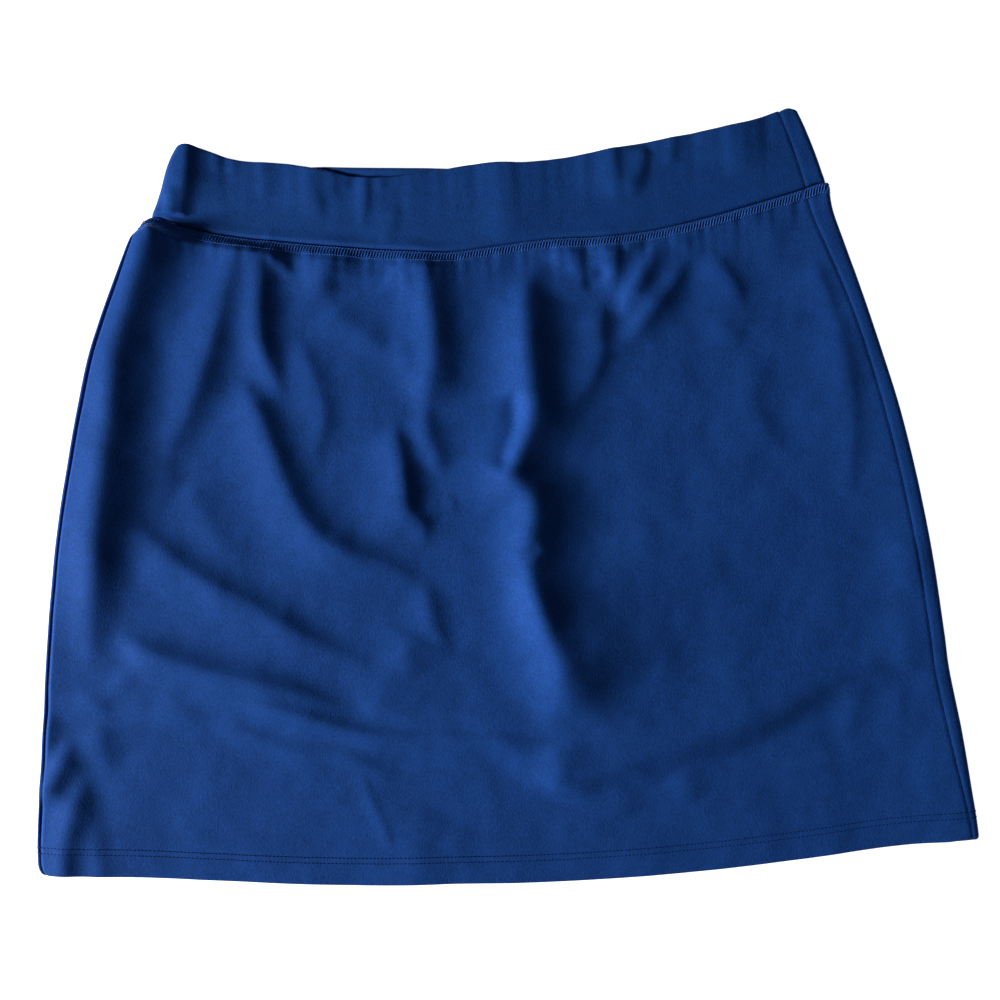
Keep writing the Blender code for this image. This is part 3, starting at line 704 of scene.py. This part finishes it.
def on_tube(tube, up, lengths):
    """Points on the middle of the wall of a flattened tube: lengths run along the upper layer
    from left to right, then back along the lower one."""
    left, right = sides(tube, up)
    whole = cloth_width(tube, up)
    lengths = lengths % (2 * whole)
    on_top = lengths < whole
    from_left = np.where(on_top, lengths, 2 * whole - lengths)
    x = np.where(
        from_left < whole / 2, left + unturned(from_left), right - unturned(whole - from_left)
    )
    share = (x - left) / (right - left)
    low_x = between(tube["levels"][0][1], tube["levels"][0][2], share)
    high_x = between(tube["levels"][-1][1], tube["levels"][-1][2], share)
    y = between(across(tube["bottom_line"], low_x), across(tube["top_line"], high_x), up)
    inward = np.minimum(x - left, right - x)
    high = tube["upper"](x, y) + SIDE_BULGE * bump(inward, BULGE_WIDTH)
    low = tube["lower"](x, y)
    centre = (high + low) / 2
    reach = np.where(on_top, high - centre, low - centre)
    return np.stack([x, y, centre + reach * side_turn(inward)], -1)


def outward(tube, up, lengths):
    """Directions out of the wall, in the plane of each level."""
    run = on_tube(tube, up, lengths + NUDGE) - on_tube(tube, up, lengths - NUDGE)
    normal = np.stack([-run[..., 2], np.zeros(run.shape[:-1]), run[..., 0]], -1)
    return normal / np.linalg.norm(normal, axis=-1, keepdims=True)


def stations(stops, counts):
    """Lengths that run through the stops, with a count of steps between each two."""
    runs = [np.linspace(*ends, count + 1)[:-1] for *ends, count in zip(stops, stops[1:], counts)]
    return np.concatenate([*runs, stops[-1:]])


def panel(tube, ups, counts, front):
    """Grids of wall points and of the directions out of the wall, a row for each level, from
    one side seam to the other: over the upper layer for a front piece, round both sides and
    over the lower layer for a back one. The wall dips to its side seams."""
    rows = []
    turn = np.pi * SIDE_RADIUS / 2
    fine = SIDE_DITCH_SPAN
    for up in ups:
        left_seam, right_seam = seams(tube, up)
        whole = cloth_width(tube, up)
        if front:
            start = left_seam + GAP / 2
            end = right_seam - GAP / 2
            stops = (start, start + fine, end - fine, end)
        else:
            start = right_seam + GAP / 2
            end = 2 * whole + left_seam - GAP / 2
            bends = (whole, whole + turn, 2 * whole - turn)
            stops = (start, start + fine, *bends, end - LEFT_BACK_SPAN, end)
        rows.append(stations(stops, counts))
    lengths = np.array(rows)
    up = np.broadcast_to(np.asarray(ups)[:, None], lengths.shape)
    from_ends = (lengths - lengths[:, :1], lengths[:, -1:] - lengths)
    from_left, from_right = from_ends if front else from_ends[::-1]
    dip = LEFT_DITCH_DEPTH * bump(from_left, SIDE_DITCH_WIDTH)
    dip += RIGHT_DITCH_DEPTH * bump(from_right, SIDE_DITCH_WIDTH)
    out = outward(tube, up, lengths)
    return on_tube(tube, up, lengths) - out * dip[..., None], out


def round_edge(distance, radius):
    """The share of a wall's thickness left at a distance from its rounded edge."""
    share = np.clip(distance / radius, 0.0, 1.0)
    return np.maximum(np.sqrt(1 - (1 - share) ** 2), EDGE_THINNEST)


def grid_faces(grid):
    """The four-sided faces of a grid of point numbers."""
    corners = (grid[:-1, :-1], grid[:-1, 1:], grid[1:, 1:], grid[1:, :-1])
    return np.stack([corner.ravel() for corner in corners], 1)


def rim_of(grid):
    """The point numbers round the rim of a grid."""
    return np.concatenate([grid[0], grid[1:, -1], grid[-1, -2::-1], grid[-2:0:-1, 0]])


def wall_mesh(name, middle, out, half_wall):
    """A closed wall on a grid of middle points with an even count of steps each way. Its outer
    skin takes all of them and its inner skin every other one. Half the wall's thickness is one
    number, or a column with a number for each row."""
    thick = out * np.broadcast_to(half_wall, middle.shape[:2])[..., None]
    outside = middle + thick
    inside = (middle - thick)[::2, ::2]
    points = np.concatenate([outside.reshape(-1, 3), inside.reshape(-1, 3)]) * MM
    outer = np.arange(outside[..., 0].size).reshape(outside.shape[:2])
    inner = np.arange(inside[..., 0].size).reshape(inside.shape[:2]) + outer.size
    fine = rim_of(outer).reshape(-1, 2)
    coarse = rim_of(inner)
    edge = np.stack(
        [np.roll(fine[:, 0], -1), fine[:, 1], fine[:, 0], coarse, np.roll(coarse, -1)], 1
    )
    faces = [*grid_faces(outer).tolist(), *grid_faces(inner)[:, ::-1].tolist(), *edge.tolist()]
    mesh = bpy.data.meshes.new(name)
    mesh.from_pydata(points.tolist(), [], faces)
    mesh.validate()
    return mesh


def threads(name, middle, out, radius, sides=THREAD_SIDES):
    """One mesh of many short threads: each row of middle points is a thread."""
    count, steps = middle.shape[:2]
    run = np.gradient(middle, axis=1)
    run /= np.linalg.norm(run, axis=-1, keepdims=True)
    across_it = np.cross(run, out)
    across_it /= np.linalg.norm(across_it, axis=-1, keepdims=True)
    upright = np.cross(across_it, run)
    angles = 2 * np.pi * np.arange(sides) / sides
    ring = across_it[:, :, None] * np.cos(angles)[:, None]
    ring = ring + upright[:, :, None] * np.sin(angles)[:, None]
    points = middle[:, :, None] + radius * ring
    grid = np.arange(count * steps * sides).reshape(count, steps, sides)
    here = grid[:, :-1]
    there = grid[:, 1:]
    corners = (here, np.roll(here, -1, 2), np.roll(there, -1, 2), there)
    quads = np.stack([corner.ravel() for corner in corners], 1)
    mesh = bpy.data.meshes.new(name)
    caps = grid[:, 0, ::-1].tolist() + grid[:, -1].tolist()
    mesh.from_pydata((points.reshape(-1, 3) * MM).tolist(), [], quads.tolist() + caps)
    mesh.validate()
    return mesh


def add_piece(name, mesh, material, nodes=()):
    """Adds a piece of the garment, shaded smooth, in its material."""
    mesh.shade_smooth()
    mesh.set_sharp_from_angle(angle=np.radians(SHARP_ANGLE))
    mesh.materials.append(material)
    piece = bpy.data.objects.new(name, mesh)
    bpy.context.scene.collection.objects.link(piece)
    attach(piece, "root")
    if nodes:
        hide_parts(*nodes)
    return piece


def add_node(tree, kind, place, **settings):
    node = tree.nodes.new(kind)
    node.location = place
    for key, value in settings.items():
        setattr(node, key, value)
    return node


def add_noise(tree, place, scale, detail=2.0, roughness=0.5):
    noise = add_node(tree, "ShaderNodeTexNoise", place)
    noise.inputs["Scale"].default_value = scale
    noise.inputs["Detail"].default_value = detail
    noise.inputs["Roughness"].default_value = roughness
    return noise


def add_share(tree, place, operation, share):
    """A node that takes a share of its first input."""
    node = add_node(tree, "ShaderNodeMath", place, operation=operation)
    node.inputs[1].default_value = share
    return node


def add_shades(tree, place, shades, colour):
    """A ramp between two shades of a colour."""
    ramp = add_node(tree, "ShaderNodeValToRGB", place)
    for element, (position, share) in zip(ramp.color_ramp.elements, shades):
        element.position = position
        element.color = (*(share * part for part in colour), 1.0)
    return ramp


def connect(tree, links):
    """Links nodes: each row is a node and its output, then a node and its input."""
    for source, output, target, entry in links:
        tree.links.new(source.outputs[output], target.inputs[entry])


def new_material(name, **settings):
    """A material with settings for its shader, its node tree and that shader."""
    material = bpy.data.materials.new(name)
    material.use_nodes = True
    tree = material.node_tree
    shader = tree.nodes["Principled BSDF"]
    for key, value in settings.items():
        shader.inputs[key.replace("_", " ")].default_value = value
    return material, tree, shader


def knit_material(name, colour):
    """Stretch knit: fine wales and courses in the bump, and a colour that varies a little in
    broad clouds, in patches and in grain."""
    material, tree, shader = new_material(
        name, Roughness=0.75, Specular_IOR_Level=0.08, Sheen_Weight=0.04, Sheen_Roughness=0.45,
        Sheen_Tint=(*SHEEN_BLUE, 1.0),
    )
    coordinates = add_node(tree, "ShaderNodeTexCoord", (-1200, 0))
    wales = add_node(tree, "ShaderNodeMapping", (-1000, -200))
    wales.inputs["Scale"].default_value = (1 / (WALE * MM), 1 / (COURSE * MM), 1 / (WALE * MM))
    grain = add_noise(tree, (-800, -200), 1.0, 3.0, 0.6)
    clouds = add_noise(tree, (-1000, 300), 1 / (BROAD_CLOUD * MM))
    patches = add_noise(tree, (-800, 100), 1 / (SMALL_PATCH * MM), 1.0)
    cloudy = add_share(tree, (-800, 300), "MULTIPLY", CLOUD_SHARE)
    patchy = add_share(tree, (-600, 200), "MULTIPLY_ADD", PATCH_SHARE)
    grainy = add_share(tree, (-430, 0), "MULTIPLY_ADD", GRAIN_SHARE)
    shades = add_shades(tree, (-250, 100), KNIT_SHADES, colour)
    loops = add_node(tree, "ShaderNodeBump", (-250, -250))
    loops.inputs["Strength"].default_value = 0.8
    loops.inputs["Distance"].default_value = 0.25 * MM
    connect(tree, (
        (coordinates, "Object", wales, "Vector"),
        (coordinates, "Object", clouds, "Vector"),
        (coordinates, "Object", patches, "Vector"),
        (wales, "Vector", grain, "Vector"),
        (clouds, "Fac", cloudy, 0),
        (patches, "Fac", patchy, 0),
        (cloudy, "Value", patchy, 2),
        (grain, "Fac", grainy, 0),
        (patchy, "Value", grainy, 2),
        (grainy, "Value", shades, "Fac"),
        (shades, "Color", shader, "Base Color"),
        (grain, "Fac", loops, "Height"),
        (loops, "Normal", shader, "Normal"),
    ))
    return material


def thread_material(name, colour):
    """Spun sewing thread, with a twist that shows as a fine uneven tone."""
    material, tree, shader = new_material(name, Roughness=0.8, Specular_IOR_Level=0.1)
    coordinates = add_node(tree, "ShaderNodeTexCoord", (-800, 0))
    twist = add_noise(tree, (-600, 0), 1 / (THREAD_TWIST * MM))
    shades = add_shades(tree, (-400, 0), THREAD_SHADES, colour)
    connect(tree, (
        (coordinates, "Object", twist, "Vector"),
        (twist, "Fac", shades, "Fac"),
        (shades, "Color", shader, "Base Color"),
    ))
    return material


def skirt_tube(front):
    """What makes the skirt's walls: the sections and lines of a flattened tube."""
    return {
        "levels": SKIRT_LEVELS, "half_wall": SKIRT_WALL / 2,
        "bottom_line": HEM_LINE, "top_line": WAIST_SEAM_LINE if front else BACK_SEAM_LINE,
        "upper": skirt_upper, "lower": skirt_lower,
    }


def band_tube(front):
    return {
        "levels": BAND_LEVELS, "half_wall": BAND_WALL / 2,
        "bottom_line": WAIST_SEAM_LINE if front else BACK_SEAM_LINE,
        "top_line": FRONT_TOP_LINE if front else BACK_TOP_LINE,
        "upper": band_upper, "lower": band_lower,
    }


def graded(stops, steps):
    """Heights from the first stop to the last, in an even count of rows about a step apart, a
    step for each stretch between two stops."""
    runs = []
    for low, high, step in zip(stops, stops[1:], steps):
        count = 2 * max(1, round((high - low) / step / 2))
        runs.append(np.linspace(low, high, count + 1)[:-1])
    return np.concatenate([*runs, [stops[-1]]])


def add_cloth(node, middle, out, half_wall, material):
    """Adds the shell of a node's cloth, and returns it with its middle."""
    mesh = wall_mesh(node + "_cloth", middle, out, half_wall)
    return add_piece(mesh.name, mesh, material, [node]), middle


def build_skirt(cloth):
    length = WAIST_SEAM_LINE[0][1] - HEM_LINE[0][1]
    pieces = []
    for side, stops, row_steps, counts in SKIRT_GRIDS:
        front = side == "front"
        heights = graded((*stops, length - GAP / 2), row_steps)
        middle, out = panel(skirt_tube(front), heights / length, counts, front)
        half_wall = round_edge(heights, HEM_EDGE)[:, None] * SKIRT_WALL / 2
        pieces.append(add_cloth(f"skirt_{side}", middle, out, half_wall, cloth))
    return pieces


def build_band(cloth):
    length = FRONT_TOP_LINE[0][1] - WAIST_SEAM_LINE[1][1]
    heights = graded((GAP / 2, BAND_SEAM_ROWS, length - BAND_TOP_ROWS, length), BAND_ROW_STEPS)
    pieces = []
    for side, counts in BAND_GRIDS:
        front = side == "front"
        middle, out = panel(band_tube(front), heights / length, counts, front)
        thin = round_edge(length - heights, BAND_TOP_EDGE) * round_edge(heights, BAND_SEAM_EDGE)
        half_wall = thin[:, None] * BAND_WALL / 2
        pieces.append(add_cloth(f"waistband_{side}", middle, out, half_wall, cloth))
    return pieces


def build_shorts(cloth):
    pieces = []
    ups = np.linspace(0, 1, SHORTS_ROWS + 1)
    shares = np.linspace(0, 1, SHORTS_COLUMNS + 1)
    up, share = np.meshgrid(ups, shares, indexing="ij")
    for side, rows in SHORTS_LEVELS.items():
        side_x, side_y, inner_x, inner_y = (level(rows, column, up) for column in (1, 2, 3, 4))
        gap = GAP / 2 if side == "left" else -GAP / 2
        x = between(side_x, inner_x - gap, share)
        y = between(side_y, inner_y, share)
        for layer, rise, seam_line in (
            ("front", SHORTS_FRONT_RISE, WAIST_SEAM_LINE),
            ("back", SHORTS_BACK_RISE, BACK_SEAM_LINE),
        ):
            sewn_y = np.minimum(y, across(seam_line, x) - SHORTS_SHORTFALL)
            flat = SKIRT_BACK_MID + relief(BACK_FOLDS, x, sewn_y)
            middle = np.stack([x, sewn_y, flat + rise], -1)
            if side == "right":
                middle = middle[:, ::-1]  # from left to right too
            out = np.broadcast_to((0.0, 0.0, 1.0), middle.shape)
            node = f"shorts_{layer}_{side}"
            pieces.append(add_cloth(node, middle, out, SHORTS_WALL / 2, cloth))
    return pieces


def tube_height(tube):
    return tube["top_line"][0][1] - tube["bottom_line"][0][1]


def stitch_starts(tube, front, up, pitch):
    """The lengths round a tube at which stitches lie, from side seam to side seam of a piece."""
    left, right = seams(tube, up)
    start, end = (left, right) if front else (right, 2 * cloth_width(tube, up) + left)
    return np.arange(start + SEAM_MARGIN, end - SEAM_MARGIN, pitch)


def sew(name, tube, lengths, drops, lift, dive, radius, thread):
    """Adds threads on a tube. Lengths and drops give each point's place round it and below its
    top line. Lift is their height over the cloth, and dive how much lower their ends are."""
    up = 1 - drops / tube_height(tube)
    out = outward(tube, up, lengths)
    proud = tube["half_wall"] + np.where(out[..., 2:] < PRESSED, lift - SUNK, lift)
    middle = on_tube(tube, up, lengths) + out * proud
    middle[:, (0, -1)] -= out[:, (0, -1)] * dive
    add_piece(name, threads(name, middle, out, radius), thread)


def build_stitches(ladder_thread, hem_shaded_thread):
    """The coverstitch under the waist seam and the twin rows above the hem, all round. The hem
    rows are dashes of near-black thread, which is painted shade of their needle holes on thread
    that is really navy.
    """
    share = np.linspace(0, 1, THREAD_POINTS)
    for side in ("front", "back"):
        front = side == "front"
        tube = skirt_tube(front)
        height = tube_height(tube)
        starts = stitch_starts(tube, front, 1.0, LADDER_PITCH)
        lengths = starts[:, None] + LADDER_SLANT * (share - 0.5) * 2
        drops = np.broadcast_to(between(LADDER_TOP, LADDER_FOOT, share), lengths.shape)
        sew(f"waist_ladder_{side}", tube, lengths, drops, LIFT, DIVE, LADDER_RADIUS, ladder_thread)
        needle = (NEEDLE_SHARE, NEEDLE_LIFT, NEEDLE_DIVE, NEEDLE_RADIUS, ladder_thread)
        # The hem's dashes take the near-black thread, which is painted shade of their needle
        # holes.
        twin = (HEM_DASH / HEM_PITCH, LIFT, DIVE, HEM_RADIUS, hem_shaded_thread)
        low, high = HEM_ROWS
        for name, up, drop, pitch, (dash, lift, dive, radius, thread) in (
            ("waist_row_1", 1.0, LADDER_TOP, LADDER_PITCH, needle),
            ("waist_row_2", 1.0, LADDER_FOOT, FOOT_PITCH, needle),
            ("hem_row_1", low / height, height - low, HEM_PITCH, twin),
            ("hem_row_2", high / height, height - high, HEM_PITCH, twin),
        ):
            starts = stitch_starts(tube, front, up, pitch)
            lengths = starts[:, None] + pitch * dash * (share - 0.5)
            drops = np.full(lengths.shape, drop)
            sew(f"{name}_{side}", tube, lengths, drops, lift, dive, radius, thread)


def build_garment():
    skirt = build_skirt(knit_material("skirt_knit", NAVY))
    band = build_band(knit_material("band_knit", NAVY_BAND))
    shorts = build_shorts(knit_material("shorts_knit", SHORTS_BLUE))
    build_stitches(thread_material("ladder_thread", LADDER_BLUE),
                   thread_material("hem_shaded_thread", HEM_SHADED_THREAD))


def add_floor():
    size = FLOOR_REACH * MM
    mesh = bpy.data.meshes.new("floor")
    corners = ((-1, -1), (1, -1), (1, 1), (-1, 1))
    mesh.from_pydata([(size * x, size * y, 0.0) for x, y in corners], [], [(0, 1, 2, 3)])
    material, _, _ = new_material(
        "floor_white", Base_Color=(*[FLOOR_WHITE] * 3, 1.0), Roughness=0.9,
        Specular_IOR_Level=0.0, Emission_Color=(1.0, 1.0, 1.0, 1.0), Emission_Strength=FLOOR_GLOW,
    )
    mesh.materials.append(material)
    floor = bpy.data.objects.new("floor", mesh)
    bpy.context.scene.collection.objects.link(floor)


def add_lights():
    azimuth = np.radians(KEY_AZIMUTH)
    elevation = np.radians(KEY_ELEVATION)
    way = Vector((
        np.cos(azimuth) * np.cos(elevation), np.sin(azimuth) * np.cos(elevation),
        np.sin(elevation),
    ))
    light = bpy.data.lights.new("key", "AREA")
    light.shape = "DISK"
    light.size = KEY_SIZE * MM
    light.energy = KEY_WATTS
    light.color = KEY_COLOUR
    key = bpy.data.objects.new("key", light)
    key.location = way * KEY_DISTANCE * MM
    key.rotation_euler = way.to_track_quat("Z", "Y").to_euler()
    bpy.context.scene.collection.objects.link(key)
    world = bpy.data.worlds.new("studio")
    world.use_nodes = True
    sky = world.node_tree.nodes["Background"]
    sky.inputs["Color"].default_value = (*SKY_COLOUR, 1.0)
    sky.inputs["Strength"].default_value = SKY_STRENGTH
    bpy.context.scene.world = world


def add_camera():
    tilt = np.radians(CAMERA_TILT)
    roll = np.radians(CAMERA_ROLL)
    back = Vector((0.0, -np.sin(tilt), np.cos(tilt)))
    up = Vector((0.0, np.cos(tilt), np.sin(tilt)))
    right = Vector((1.0, 0.0, 0.0))
    turned_right = right * np.cos(roll) - up * np.sin(roll)
    turned_up = up * np.cos(roll) + right * np.sin(roll)
    place = (Vector(CAMERA_TARGET) + back * CAMERA_DISTANCE) * MM
    axes = Matrix((turned_right, turned_up, back)).transposed().to_4x4()
    data = bpy.data.cameras.new("camera")
    data.sensor_fit = "HORIZONTAL"
    data.sensor_width = 36.0
    data.angle = np.radians(CAMERA_FOV)
    data.clip_start = CAMERA_NEAR * MM
    camera = bpy.data.objects.new("camera", data)
    camera.matrix_world = Matrix.Translation(place) @ axes
    bpy.context.scene.collection.objects.link(camera)
    bpy.context.scene.camera = camera


def main():
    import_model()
    build_garment()
    add_floor()
    add_lights()
    add_camera()
    bpy.context.scene.view_settings.view_transform = "Standard"


main()
